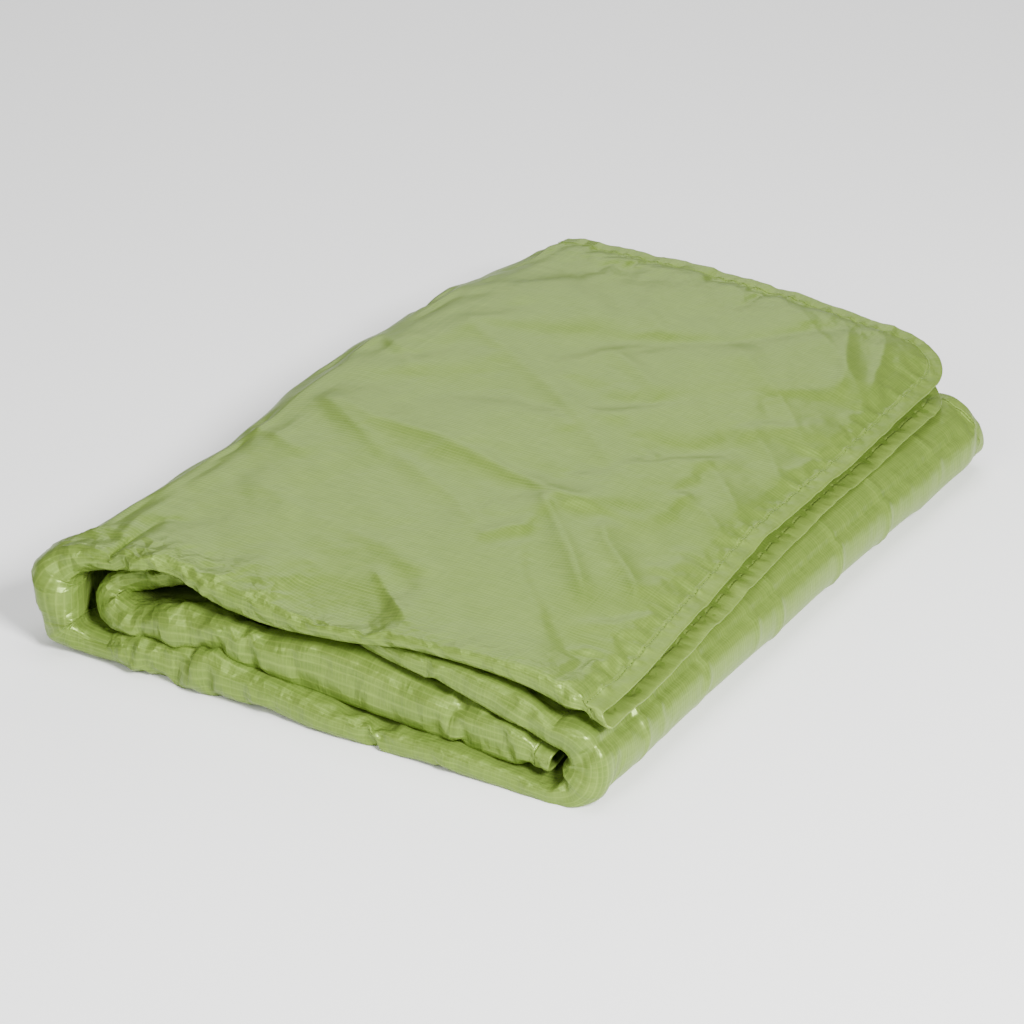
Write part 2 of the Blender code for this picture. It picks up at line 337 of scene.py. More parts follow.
FLAP_RIDGES = [  # points, height, width on the shaded side, width on the bright side
    ([(-0.237, -0.016), (-0.183, -0.042), (-0.143, -0.056), (-0.078, -0.057), (-0.003, -0.076),
      (0.070, -0.094), (0.124, -0.092), (0.175, -0.084)], 0.0055, 0.012, 0.030),
    ([(-0.233, 0.199), (-0.172, 0.146), (-0.108, 0.110), (-0.051, 0.074), (0.002, 0.036),
      (0.074, -0.029), (0.134, -0.076)], 0.0055, 0.016, 0.032),
    ([(0.035, -0.085), (0.078, -0.130), (0.114, -0.167), (0.172, -0.235)], 0.0050, 0.011, 0.014),
    ([(0.100, -0.100), (0.130, -0.138), (0.170, -0.171), (0.204, -0.207)], 0.0045, 0.010, 0.013),
    ([(0.030, 0.240), (0.122, 0.167), (0.192, 0.090)], 0.0050, 0.018, 0.030),
    ([(-0.060, 0.175), (0.000, 0.140), (0.050, 0.100)], 0.0035, 0.012, 0.020),
    ([(-0.215, -0.035), (-0.136, -0.081), (-0.085, -0.113)], 0.0030, 0.010, 0.016),
    ([(0.036, 0.349), (0.133, 0.257), (0.195, 0.190)], 0.0045, 0.014, 0.024),
    ([(-0.106, -0.090), (-0.062, -0.112), (-0.005, -0.140), (0.036, -0.175)], 0.0030, 0.012, 0.016),
    ([(0.105, 0.330), (0.146, 0.241), (0.166, 0.180)], 0.0030, 0.007, 0.009),
    ([(0.143, 0.325), (0.168, 0.266), (0.190, 0.200)], 0.0030, 0.006, 0.008),
    ([(-0.009, -0.261), (0.043, -0.305), (0.089, -0.345)], 0.0022, 0.004, 0.012),
    ([(0.041, -0.189), (0.055, -0.160), (0.075, -0.152)], 0.0022, 0.008, 0.010),
    ([(-0.090, 0.330), (-0.060, 0.260), (0.000, 0.200)], 0.0028, 0.016, 0.024),
    ([(-0.180, 0.300), (-0.120, 0.235), (-0.070, 0.190)], 0.0025, 0.018, 0.026),
    ([(-0.200, -0.180), (-0.120, -0.215), (-0.020, -0.235), (0.080, -0.270)], 0.0020, 0.022, 0.030),
    ([(0.110, 0.040), (0.150, 0.010), (0.200, -0.040)], 0.0030, 0.009, 0.014),
    ([(0.130, -0.030), (0.165, -0.045), (0.208, -0.075)], 0.0026, 0.007, 0.010),
    ([(0.120, 0.110), (0.165, 0.070), (0.205, 0.020)], 0.0028, 0.010, 0.014),
    ([(-0.240, -0.110), (-0.200, -0.118), (-0.150, -0.140)], 0.0024, 0.010, 0.018),
    ([(-0.244, 0.100), (-0.200, 0.075), (-0.160, 0.030)], 0.0024, 0.012, 0.020),
    ([(-0.244, 0.270), (-0.190, 0.240), (-0.150, 0.200)], 0.0020, 0.012, 0.020),
]
FRONT_SPREAD = 0.026  # how far back from the front fold its dents reach
DENT_SIZE, SMALL_DENT_SIZE = 0.027, 0.012
DENT_HEIGHT, DENT_HEIGHT_LEFT, DENT_HEIGHT_UNEVEN = 0.0011, 0.0044, 0.0012
DENT_HEIGHT_AT_FOLDS = 0.0026  # more where the roll and the left fold turn
PUCKER_HEIGHT, FAN_HEIGHT, FLUTTER_HEIGHT = 0.0009, 0.0013, 0.0016  # along the hem
PUCKER_SIZE, FAN_SIZE = 0.0085, 0.011
RIDGES_START = 5.35  # the flap's ridges begin this far along the roll
BAR_HEIGHT, BAR_WIDTH = 0.0018, 0.0036
SEAM_DEPTH, SEAM_WIDTH = 0.0024, 0.0032
GATHER_HEIGHT, GATHER_REACH, GATHER_SIZE = 0.0030, 0.008, 0.0075  # beside the roll's seam
BUMP_HEIGHT, RUMPLE_HEIGHT = 0.0022, 0.0012
NOSE_ARC = 0.016  # half the flat length of cloth that goes round the front fold
SEAM_PLACE = sum(SECTION_LENGTH[:3]) + 0.030
ROLL_BARS = [-0.285, -0.262, -0.190, -0.110, -0.070, 0.035, 0.120, 0.215]  # pale creases across the roll


def wave_noise(u, v, size, seed):
    """Smooth noise between about -1 and 1, with hills of the given size."""
    grid = np.random.default_rng(seed).uniform(-1, 1, (64, 64))
    x, y = u / size + 17.3, v / size + 9.1
    i, j = np.floor(x).astype(int), np.floor(y).astype(int)
    tx, ty = smooth(x - i), smooth(y - j)

    def corner(di, dj):
        return grid[(i + di) % 64, (j + dj) % 64]

    low = corner(0, 0) * (1 - tx) + corner(1, 0) * tx
    high = corner(0, 1) * (1 - tx) + corner(1, 1) * tx
    return low * (1 - ty) + high * ty


def nearby_cells(x, y, jitter):
    """The nine cells round each place, with the step to the place from each cell's own point."""
    i, j = np.floor(x).astype(int), np.floor(y).astype(int)
    for di in (-1, 0, 1):
        for dj in (-1, 0, 1):
            cell = (i + di) % 64, (j + dj) % 64
            yield cell, x - (i + di + jitter[0][cell]), y - (j + dj + jitter[1][cell])


def creases(u, v, size, seed):
    """Sharp ridges round shallow dents, as crumpled crisp cloth has. Between 0 and 1."""
    jitter = np.random.default_rng(seed).uniform(0, 1, (2, 64, 64))
    x = u / size + 0.6 * wave_noise(u, v, size * 1.7, seed + 1)
    y = v / size + 0.6 * wave_noise(u, v, size * 1.7, seed + 2)
    nearest = np.full(np.shape(x), 9.0)
    for _, dx, dy in nearby_cells(x, y, jitter):
        nearest = np.minimum(nearest, dx * dx + dy * dy)
    return np.clip(nearest, 0, 1.2) / 1.2


def facets(u, v, size, seed):
    """Nearly flat faces tilted every way, with sharp folds where they meet."""
    random = np.random.default_rng(seed)
    jitter, tilt = random.uniform(0, 1, (2, 64, 64)), random.uniform(-0.8, 0.8, (2, 64, 64))
    level_of = random.uniform(0, 0.4, (64, 64))
    x = u / size + 0.4 * wave_noise(u, v, size * 1.7, seed + 1)
    y = v / size + 0.4 * wave_noise(u, v, size * 1.7, seed + 2)
    lowest = np.full(np.shape(x), 9.0)
    for cell, dx, dy in nearby_cells(x, y, jitter):
        face = level_of[cell] + tilt[0][cell] * dx + tilt[1][cell] * dy + 0.7 * (dx * dx + dy * dy)
        lowest = np.minimum(lowest, face)
    return lowest


def slanted(u, v, angle, stretch):
    """Coordinates turned by an angle and drawn out along it."""
    return (u * cos(angle) + v * sin(angle)) / stretch, v * cos(angle) - u * sin(angle)


def ridge(x, y, points, height, shaded, bright):
    """A crease along a line, steep on its shaded side and gentle on the bright one."""
    points = np.array(points)
    lengths = np.hypot(*np.diff(points, axis=0).T)
    starts = np.concatenate([[0], np.cumsum(lengths)])
    best = np.full(np.shape(x), 9.0)
    run = np.zeros(np.shape(x))
    side = np.zeros(np.shape(x))
    for start, end, length, begun in zip(points[:-1], points[1:], lengths, starts):
        way = (end - start) / length
        dx, dy = x - start[0], y - start[1]
        t = np.clip(dx * way[0] + dy * way[1], 0, length)
        distance = np.hypot(dx - t * way[0], dy - t * way[1])
        nearer = distance < best
        best = np.where(nearer, distance, best)
        run = np.where(nearer, (begun + t) / starts[-1], run)
        side = np.where(nearer, way[0] * dy - way[1] * dx, side)
    width = np.where(side > 0, bright, shaded)
    taper = smooth(run / 0.2) * smooth((1 - run) / 0.25)
    return height * taper * np.exp(-(np.sqrt(best**2 + 0.0022**2) - 0.0022) / width)


def flat_place(along, across, turn, arc):
    """Where a point is on the unrolled quilt, in metres: along the roll, and across it."""
    starts = np.concatenate([[0], np.cumsum(SECTION_LENGTH)])
    section = np.clip(np.floor(along), 0, 6).astype(int)
    u = starts[section] + (along - section) * np.array(SECTION_LENGTH)[section]
    outer = (PLY_DEPTH * across + arc) * np.where(turn < pi / 2, 1, -1)
    round_nose = (turn > 0) & (turn < pi)
    return u, np.where(round_nose, arc * (1 - 2 * turn / pi), outer)


def hem_run(along, across):
    """Flat distance along the hem's edge, counted up the flap's side and on along the back."""
    back = (1 - across) * PLY_DEPTH
    side = np.where(along > 6, (7 - along) * SECTION_LENGTH[TOP_FLAP], along * SECTION_LENGTH[INNER_PANEL])
    side = np.where((along > 1) & (along < 6), 1.0, side)
    straight = PLY_DEPTH - CORNER_RADIUS
    angle = np.arctan2(np.maximum(CORNER_RADIUS - back, 0), np.maximum(CORNER_RADIUS - side, 1e-6))
    in_corner = (back < CORNER_RADIUS) & (side < CORNER_RADIUS)
    along_back = straight + CORNER_RADIUS * pi / 2 + side - CORNER_RADIUS
    run = np.where(side < back, PLY_DEPTH - back, along_back)
    run = np.where(in_corner, straight + CORNER_RADIUS * angle, run)
    u = flat_place(along, across, np.zeros_like(along), 0.0)[0]
    return np.where((along > 1) & (along < 6), 3.0 + u, run)


def cloth_relief(along, across, turn, place):
    """How far the cloth stands out of its smooth shape at each place."""
    x, y = place[..., 0], place[..., 1]
    outer = turn < pi / 2
    u, v = flat_place(along, across, turn, NOSE_ARC)
    front = across * PLY_DEPTH
    on_front = np.exp(-((front / FRONT_SPREAD) ** 2))

    # Dents where the front folds are squeezed.
    squeezed = smooth((0.0 - x) / 0.16)
    uneven = np.maximum(wave_noise(u, v, 0.11, 31), 0)
    strength = DENT_HEIGHT + DENT_HEIGHT_LEFT * squeezed + DENT_HEIGHT_UNEVEN * uneven
    at_folds = np.exp(-((along - 3.5) / 0.45) ** 2) + 0.8 * np.exp(-((along - 5.5) / 0.5) ** 2)
    strength = strength + DENT_HEIGHT_AT_FOLDS * at_folds
    dents = facets(*slanted(u, v, 0.6, 1.6), DENT_SIZE, 11)
    small = facets(*slanted(u, v, -0.8, 1.5), SMALL_DENT_SIZE, 23)
    relief = on_front * strength * (1.5 * dents + 0.45 * small - 0.5)
    flap_nose = (along > 6) & (turn <= pi)
    relief = relief * np.where(flap_nose, 0.25 + 0.75 * squeezed, 1.0)

    # Puckers along the hem.
    inset = hem_inset(along, across)
    run = hem_run(along, across)
    layer_seed = np.where(outer, 0.0, 5.0)
    near_hem = np.exp(-np.maximum(inset - HEM_WIDTH, 0) / 0.016)
    pucker_run = run + 0.25 * inset + layer_seed
    pucker = creases(*slanted(pucker_run, inset, 0.0, 1.0), PUCKER_SIZE, 41) - 0.3
    fan = creases(pucker_run, inset / 5.0, FAN_SIZE, 47) - 0.3
    relief = relief + PUCKER_HEIGHT * near_hem * pucker * smooth(inset / 0.012)
    relief = relief + FAN_HEIGHT * near_hem * fan
    flutter = wave_noise(run + layer_seed, 0 * run, 0.028, 53) + 0.6 * wave_noise(run, 0 * run, 0.011, 59)
    relief = relief + FLUTTER_HEIGHT * np.exp(-inset / 0.02) * flutter

    # Long ridges across the flap.
    flap_top = (along > RIDGES_START) & outer
    ridges = np.zeros_like(x)
    for points, height, shaded, bright in FLAP_RIDGES:
        ridges = ridges + ridge(x, y, points, height, shaded, bright)
    swells = wave_noise(*slanted(x, y, -0.75, 2.2), 0.05, 5)
    soft = wave_noise(*slanted(x, y, -0.75, 3.0), 0.016, 7)
    fades = smooth((inset - 0.006) / 0.02) * smooth(front / 0.03) * smooth((along - RIDGES_START) / 0.25)
    relief = relief + np.where(flap_top, fades * (ridges + 0.0013 * swells + 0.00045 * soft), 0.0)

    # Creases and one puckered seam along the roll.
    roll = smooth((along - 2.75) / 0.2) * smooth((4.1 - along) / 0.1) * outer
    bars = sum(np.exp(-(((y - bar - 0.02 * (3.4 - along)) / BAR_WIDTH) ** 2)) for bar in ROLL_BARS)
    reach = smooth((3.75 - along + 0.2 * wave_noise(y, y, 0.03, 61)) / 0.3)
    dents = wave_noise(*slanted(u, v, 0.9, 2.0), 0.045, 67)
    back_end = smooth((y - 0.12) / 0.14)
    rumple = creases(*slanted(u, v, 1.1, 2.2), 0.030, 71) - 0.3
    seam = np.exp(-((u - SEAM_PLACE) / SEAM_WIDTH) ** 2)
    relief = relief + roll * (BAR_HEIGHT * bars * reach + 0.0012 * dents + 0.004 * back_end * rumple)
    relief = relief - np.where(outer, SEAM_DEPTH * seam * smooth((0.96 - across) * 30), 0.0)
    beside = np.exp(-(np.abs(u - SEAM_PLACE) / GATHER_REACH))
    gathers = creases((v + 1.0), (u - SEAM_PLACE) / 2.5, GATHER_SIZE, 73) - 0.3
    relief = relief + np.where(outer, GATHER_HEIGHT * beside * gathers * smooth(front / 0.02), 0.0)

    # Bumps down the left loop, and rumpled back edges.
    loop = smooth((along - 4.9) / 0.3) * smooth((6.1 - along) / 0.3)
    bumps = wave_noise(y, along, 0.045, 79)
    relief = relief + loop * outer * BUMP_HEIGHT * bumps * smooth(front / 0.03)
    back_rumple = np.exp(-(1 - across) * PLY_DEPTH / 0.05) * RUMPLE_HEIGHT * wave_noise(u, v, 0.03, 83)
    return relief + back_rumple * (along < 6)


# ---------------------------------------------------------------- the crumpled cloth
# The cloth is a little too large for the rolled shape, most of all round the front folds and
# beside the stitching, so it buckles. A cloth simulation of the whole sheet, held loosely to the
# smooth shape and with its gravity off, gives the crumples; every layer then follows them.

CRUMPLE_STEP = 0.0068
SURPLUS = 0.055  # how much too large the cloth is where it is squeezed most
CRUMPLE_FRAMES = 16
SHEET_LENGTH = sum(SECTION_LENGTH)
SHEET_REACH = PLY_DEPTH + NOSE_ARC
CRUMPLE_CLOTH = {
    "quality": 6,
    "mass": 0.15,
    "tension_stiffness": 20.0,
    "compression_stiffness": 20.0,
    "shear_stiffness": 12.0,
    "bending_stiffness": 0.35,
    "vertex_group_mass": "held",
    "pin_stiffness": 1.2,
    "vertex_group_shrink": "snug",
    "shrink_min": -SURPLUS,
    "shrink_max": 0.0,
}
WEIGHT_STEPS = 50
MOST_MOVED, MOST_AT_FOLDS = 0.0017, 0.0042
SOFT_TOP, SOFT_ROOM = 0.0975, 0.0077  # creases flatten above this height, and go no higher than both
FLOOR_GAP = 0.0003


def crumple_grid():
    """Places on the unrolled sheet a few millimetres apart, as along, across and turn."""
    u = np.linspace(0, SHEET_LENGTH, int(SHEET_LENGTH / CRUMPLE_STEP))
    v = np.linspace(SHEET_REACH, -SHEET_REACH, int(2 * SHEET_REACH / CRUMPLE_STEP))
    starts = np.concatenate([[0], np.cumsum(SECTION_LENGTH)])
    along = np.minimum(np.interp(u, starts, range(8)), 6.9999)
    across = np.maximum(np.abs(v) - NOSE_ARC, 0) / PLY_DEPTH
    turn = np.clip((1 - v / NOSE_ARC) / 2, 0, 1) * pi
    shape = (len(u), len(v))
    return u, v, [np.broadcast_to(values, shape).copy() for values in (along[:, None], across, turn)]


def crumpled():
    """How far the simulation moves each place of the crumple grid."""
    u, v, (along, across, turn) = crumple_grid()
    points, outward = in_roll(along, across, turn, face_offset)
    rows, columns = along.shape
    index = np.arange(rows * columns).reshape(rows, columns)
    quads = np.stack([index[:-1, :-1], index[:-1, 1:], index[1:, 1:], index[1:, :-1]], axis=-1).reshape(-1, 4)
    mesh = bpy.data.meshes.new("crumpling_sheet")
    start = points + outward * cloth_relief(along, across, turn, points)[..., None]
    mesh.from_pydata(start.reshape(-1, 3).tolist(), [], quads.tolist())
    sheet = put_in_scene("crumpling_sheet", mesh)

    front = across * PLY_DEPTH
    inset = hem_inset(along, across)
    squeezed = np.exp(-((front / 0.045) ** 2))
    beside_hem = np.exp(-np.maximum(inset - HEM_WIDTH, 0) / 0.035)
    snug = 1 - np.clip(0.12 + 0.9 * squeezed + 0.45 * beside_hem, 0, 1).ravel()
    hold = np.clip(1.0 - smooth((inset - 0.008) / 0.010), 0, 1).ravel()
    hold = 0.03 + 0.97 * hold
    for group_name, weights in (("held", hold), ("snug", snug)):
        group = sheet.vertex_groups.new(name=group_name)
        for step in range(WEIGHT_STEPS + 1):
            chosen = np.nonzero(np.round(weights * WEIGHT_STEPS) == step)[0]
            if len(chosen):
                group.add(chosen.tolist(), step / WEIGHT_STEPS, "REPLACE")
    cloth = sheet.modifiers.new("cloth", "CLOTH")
    for setting, value in CRUMPLE_CLOTH.items():
        setattr(cloth.settings, setting, value)
    cloth.settings.effector_weights.gravity = 0.0
    cloth.collision_settings.use_collision = False
    cloth.point_cache.frame_start = 1
    cloth.point_cache.frame_end = CRUMPLE_FRAMES
    scene = bpy.context.scene
    for frame_number in range(1, CRUMPLE_FRAMES + 1):
        scene.frame_set(frame_number)
    settled = sheet.evaluated_get(bpy.context.evaluated_depsgraph_get()).data
    moved = np.zeros(rows * columns * 3, dtype=np.float32)
    settled.vertices.foreach_get("co", moved)
    moved = moved.reshape(rows, columns, 3) - start
    scene.frame_set(1)
    bpy.data.objects.remove(sheet)
    size = np.linalg.norm(moved, axis=-1, keepdims=True) + 1e-9
    most = (MOST_MOVED + MOST_AT_FOLDS * squeezed)[..., None]
    return u, v, moved * np.tanh(size / most) * most / size


crumple_u, crumple_v, crumple_shift = crumpled()


def crumple_at(along, across, turn):
    """The crumples at each place, smoothly between the points of the grid."""
    u, v = flat_place(along, across, turn, NOSE_ARC)
    row = np.clip(u / SHEET_LENGTH, 0, 1) * (len(crumple_u) - 1)
    column = np.clip((1 - v / SHEET_REACH) / 2, 0, 1) * (len(crumple_v) - 1)
    i = np.clip(np.floor(row).astype(int), 0, len(crumple_u) - 2)
    j = np.clip(np.floor(column).astype(int), 0, len(crumple_v) - 2)
    shift = np.zeros(np.shape(along) + (3,))
    for di, row_weight in enumerate(cubic_weights(row - i), start=-1):
        for dj, column_weight in enumerate(cubic_weights(column - j), start=-1):
            near_i = np.clip(i + di, 0, len(crumple_u) - 1)
            near_j = np.clip(j + dj, 0, len(crumple_v) - 1)
            shift += (row_weight * column_weight)[..., None] * crumple_shift[near_i, near_j]
    return shift


def cubic_weights(t):
    """Catmull-Rom weights of four neighbouring points."""
    return [(-t**3 + 2 * t**2 - t) / 2, (3 * t**3 - 5 * t**2 + 2) / 2,
            (-3 * t**3 + 4 * t**2 + t) / 2, (t**3 - t**2) / 2]


def draped(along, across, turn, offset_of):
    """A layer's places once the cloth has its creases, and the outward direction there."""
    place, outward = in_roll(along, across, turn, offset_of)
    relief = cloth_relief(along, across, turn, place)
    place = place + outward * relief[..., None] + crumple_at(along, across, turn)
    height = place[..., 2]
    flattened = SOFT_TOP + SOFT_ROOM * np.tanh((height - SOFT_TOP) / SOFT_ROOM)
    place[..., 2] = np.maximum(np.where(height > SOFT_TOP, flattened, height), FLOOR_GAP)
    return place, outward


# ---------------------------------------------------------------- face fabric
# One sheet of green ripstop nylon, calendered to a satin sheen, on the outside of the pair all
# the way round the roll. Its raw edges end inside the hem. It is laid over the filling and only
# sewn at the hems, so it slides and creases freely.

CLOTH = 0.00035
RIPSTOP_PITCH = 0.0031
SATIN = 0.28  # the green of the dyed fibres tints the sheen, as on a metal
FACE_DARK = (0.104, 0.170, 0.026, 1)
FACE_LIGHT = (0.190, 0.275, 0.050, 1)


class Value:
    """A shader value that takes part in Python's arithmetic."""

    def __init__(self, finish, socket):
        self.finish, self.socket = finish, socket

    def maths(self, operation, *others):
        return self.finish.node("ShaderNodeMath", {"operation": operation}, [self, *others])

    def __add__(self, other):
        return self.maths("ADD", other)

    def __sub__(self, other):
        return self.maths("SUBTRACT", other)

    def __rsub__(self, other):
        return (self * -1) + other

    def __mul__(self, other):
        return self.maths("MULTIPLY", other)

    def __truediv__(self, other):
        return self.maths("DIVIDE", other)

    __radd__ = __add__
    __rmul__ = __mul__

    def line(self, pitch, width):
        """1 on lines a pitch apart and 0 between them."""
        return 1 - (self.maths("PINGPONG", pitch / 2) / width).maths("MINIMUM", 1.0)


class Finish:
    """One material, with its shader and the nodes that feed it."""

    def __init__(self, name, roughness, sheen=0.0, metallic=0.0):
        self.material = bpy.data.materials.new(name)
        self.material.use_nodes = True
        self.tree = self.material.node_tree
        self.shader = self.tree.nodes["Principled BSDF"]
        self.shader.inputs["Roughness"].default_value = roughness
        self.shader.inputs["Sheen Weight"].default_value = sheen
        self.shader.inputs["Metallic"].default_value = metallic
        self.shader.inputs["Specular IOR Level"].default_value = 0.38
        self.shader.inputs["Specular Tint"].default_value = (0.80, 0.92, 0.50, 1)

    def node(self, kind, settings, inputs, output=0):
        node = self.tree.nodes.new(kind)
        for key, setting in settings.items():
            setattr(node, key, setting)
        pairs = inputs.items() if isinstance(inputs, dict) else enumerate(inputs)
        for key, value in pairs:
            self.feed(node.inputs[key], value)
        return Value(self, node.outputs[output])

    def feed(self, socket, value):
        if isinstance(value, Value):
            self.tree.links.new(value.socket, socket)
        else:
            socket.default_value = value

    def colour(self, factor, first, second):
        mix = self.tree.nodes.new("ShaderNodeMix")
        mix.data_type = "RGBA"
        self.feed(mix.inputs["Factor"], factor)
        self.feed(mix.inputs["A"], first)
        self.feed(mix.inputs["B"], second)
        return Value(self, mix.outputs["Result"])

    def give(self, input_name, value):
        self.feed(self.shader.inputs[input_name], value)

    def split(self, vector, axis):
        return self.node("ShaderNodeSeparateXYZ", {}, [vector], axis)

    def flat_cloth(self):
        return self.node("ShaderNodeUVMap", {"uv_map": "flat_cloth"}, [])

    def noise(self, vector, scale, detail=2.0, stretch=(1.0, 1.0, 1.0)):
        spread = self.node("ShaderNodeMapping", {}, {"Vector": vector, "Scale": stretch})
        return self.node("ShaderNodeTexNoise", {}, {"Vector": spread, "Scale": scale, "Detail": detail})

    def warped(self, vector, scale, warp):
        noise = {"Vector": vector, "Scale": scale, "Detail": 1.0}
        shift = self.node("ShaderNodeTexNoise", {}, noise, 1)
        return self.node("ShaderNodeVectorMath", {"operation": "MULTIPLY_ADD"}, [shift, (warp,) * 3, vector])

    def crinkle(self, vector, scale, warp):
        """Fine sharp crease lines, as a height."""
        moved = self.warped(vector, scale * 0.6, warp)
        cells = self.node("ShaderNodeTexVoronoi", {"feature": "DISTANCE_TO_EDGE"},
                          {"Vector": moved, "Scale": scale})
        return (cells * 4).maths("MINIMUM", 1.0)

    def facets(self, vector, scale, warp, metric):
        """Flat-sided dents with sharp edges between them, as a height."""
        moved = self.warped(vector, scale * 0.5, warp)
        turned = self.node("ShaderNodeMapping", {}, {"Vector": moved, "Rotation": (0.0, 0.0, 0.6)})
        return self.node("ShaderNodeTexVoronoi", {"distance": metric}, {"Vector": turned, "Scale": scale})

    def bump(self, height, distance, strength=1.0):
        inputs = {"Height": height, "Distance": distance, "Strength": strength}
        self.give("Normal", self.node("ShaderNodeBump", {}, inputs))


def ripstop(name, dark, light, roughness):
    """Fine plain weave with a grid of thicker threads, crumpled most where the front folds are."""
    finish = Finish(name, roughness, metallic=SATIN)
    cloth = finish.flat_cloth()
    u, v = finish.split(cloth, 0), finish.split(cloth, 1)
    grid = (u.line(RIPSTOP_PITCH, 0.00055) * 0.4).maths("MAXIMUM", v.line(RIPSTOP_PITCH, 0.00055))
    threads = finish.noise(cloth, 700.0, 1.0, (0.05, 1.0, 1.0))
    crossing = finish.noise(cloth, 700.0, 1.0, (1.0, 0.05, 1.0))
    mottle = finish.noise(cloth, 9.0, 3.0)
    shade = (threads * 0.5 + crossing * 0.3 + mottle * 0.2 - 0.5) * 1.8 + 0.28 + grid * 0.55
    colour = finish.colour(shade.maths("MAXIMUM", 0.0), dark, light)
    finish.give("Base Color", colour)
    finish.give("Roughness", mottle * 0.08 + (roughness - 0.04) - grid * 0.08)

    place = finish.node("ShaderNodeTexCoord", {}, [], 3)
    left = (finish.split(place, 0) * -6.0).maths("MAXIMUM", 0.0)
    from_fold = v.maths("ABSOLUTE")
    by_fold = 1 - (from_fold / 0.055).maths("MINIMUM", 1.0)
    by_hem = ((from_fold - 0.60) / 0.10).maths("MAXIMUM", 0.0)
    crumpled_here = by_fold * (left.maths("MINIMUM", 1.0) * 0.9 + 0.9) + by_hem * 0.35 + 0.03
    facets = finish.facets(cloth, 30.0, 0.030, "EUCLIDEAN") * 2.6
    small_facets = finish.facets(cloth, 80.0, 0.016, "MANHATTAN") * 1.2
    streaks = finish.noise(cloth, 230.0, 1.0, (0.02, 1.0, 1.0)) * (by_fold * 0.20 + 0.03)
    crinkles = finish.crinkle(cloth, 42.0, 0.016) * 0.10
    ribs = grid * 0.045 + (threads + crossing) * 0.012
    finish.bump((facets + small_facets) * crumpled_here + streaks + crinkles + ribs, 0.001, 1.0)
    return finish.material


def across_columns(outer_step, nose_steps, inner_step):
    """The columns of a sheet: back hem to front on the outer ply, round the fold, and back.

    They lie closer together beside the front fold, where the cloth is most creased.
    """
    near_fold = np.linspace(0.09, 0, int(round(0.19 / outer_step)))
    outer = np.concatenate([np.linspace(1, 0.09, int(round(0.91 / outer_step))), near_fold[1:]])
    inner = np.linspace(0, 1, int(round(1 / inner_step)) + 1)
    nose = np.linspace(0, pi, nose_steps + 1)[1:-1]
    across = np.concatenate([outer, 0 * nose, inner])
    turn = np.concatenate([0 * outer, nose, 0 * inner + pi])
    return across, turn


def grid_normals(points):
    normal = np.cross(np.gradient(points, axis=1), np.gradient(points, axis=0))
    return normal / (np.linalg.norm(normal, axis=-1, keepdims=True) + 1e-12)


def finish_mesh(name, verts, faces, uvs, normals, material):
    mesh = bpy.data.meshes.new(name)
    mesh.from_pydata(verts.tolist(), [], faces.tolist())
    layer = mesh.uv_layers.new(name="flat_cloth")
    loops = np.zeros(len(mesh.loops), dtype=np.int32)
    mesh.loops.foreach_get("vertex_index", loops)
    layer.uv.foreach_set("vector", uvs[loops].astype(np.float32).ravel())
    mesh.materials.append(material)
    mesh.shade_smooth()
    if normals is not None:
        mesh.normals_split_custom_set_from_vertices(normals.tolist())
    return put_in_scene(name, mesh)


def sheet_mesh(name, points, normals, flat, keep, thickness, material):
    """A closed sheet on a grid of points: both sides and the rim round its edge."""
    rows, columns = points.shape[:2]
    count = rows * columns
    index = np.arange(count).reshape(rows, columns)
    quads = np.stack([index[:-1, :-1], index[:-1, 1:], index[1:, 1:], index[1:, :-1]], axis=-1)
    quads = quads.reshape(-1, 4)
    quads = quads[keep.reshape(-1)[quads].all(axis=1)]
    lift = normals * np.broadcast_to(thickness, points.shape[:2])[..., None] / 2
    verts = np.concatenate([(points + lift).reshape(-1, 3), (points - lift).reshape(-1, 3)])
    edges = np.concatenate([quads[:, [k, (k + 1) % 4]] for k in range(4)])
    codes = edges[:, 0].astype(np.int64) * count + edges[:, 1]
    turned = edges[:, 1].astype(np.int64) * count + edges[:, 0]
    rim = edges[~np.isin(codes, turned)]
    rim_quads = np.stack([rim[:, 1], rim[:, 0], rim[:, 0] + count, rim[:, 1] + count], axis=1)
    faces = np.concatenate([quads, quads[:, ::-1] + count, rim_quads])
    used = np.unique(faces)
    renumber = np.zeros(2 * count, dtype=int)
    renumber[used] = np.arange(len(used))
    uvs = np.concatenate([flat.reshape(-1, 2)] * 2)[used]
    both_normals = np.concatenate([normals.reshape(-1, 3), -normals.reshape(-1, 3)])[used]
    return finish_mesh(name, verts[used], renumber[faces], uvs, both_normals, material)


def body_of(section_name):
    return "top_flap" if section_name == "top_flap" else "folded_stack"


BEND_START, BEND_END = 0.0265, 0.066  # the left fold bends between these heights


def place_piece(piece, section_name, slot, *nodes):
    """Sets what the piece moves with, or bakes the left fold's in place, and hides the plain solids it stands
    for.
    """
    if section_name == "left_fold":
        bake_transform(piece)
    else:
        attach(piece, body_of(section_name))
    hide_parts(*nodes)


PINCH_DEPTH = 0.045  # the loops are pinched this far back from the front


